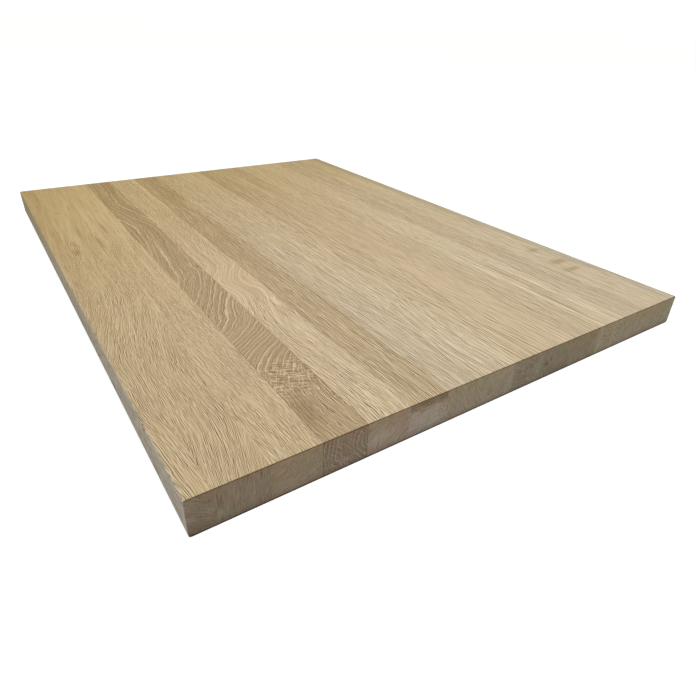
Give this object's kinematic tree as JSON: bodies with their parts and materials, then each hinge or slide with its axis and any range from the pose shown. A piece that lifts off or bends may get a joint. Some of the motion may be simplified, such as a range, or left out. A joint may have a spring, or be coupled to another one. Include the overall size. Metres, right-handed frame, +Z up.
{
  "type": "stair tread panel",
  "caption": "Solid oak stair tread panel, edge-glued from full-length staves, sawn square at both ends, with lightly rounded long edges.",
  "frame": {"origin": "middle of the underside, on the floor that the panel lies on", "axes": "+X along the grain, the panel's length; +Y from the front long edge to the back long edge, its depth; +Z up, its thickness"},
  "size_m": [0.9, 0.65, 0.038],
  "materials": {
    "oak_honey": "sanded oak, unfinished, honey tone",
    "oak_light": "sanded oak, unfinished, light tone",
    "oak_straw": "sanded oak, unfinished, straw tone",
    "oak_brown": "sanded oak, unfinished, brown tone",
    "oak_grey": "sanded oak, unfinished, greyish tone"
  },
  "bodies": {
    "root": {"stave_01": "oak_honey", "stave_02": "oak_honey", "stave_03": "oak_honey", "stave_04": "oak_brown", "stave_05": "oak_light", "stave_06": "oak_brown", "stave_07": "oak_straw", "stave_08": "oak_light", "stave_09": "oak_straw", "stave_10": "oak_straw", "stave_11": "oak_straw", "stave_12": "oak_light", "stave_13": "oak_straw", "stave_14": "oak_light", "stave_15": "oak_grey"}
  },
  "joints": []
}
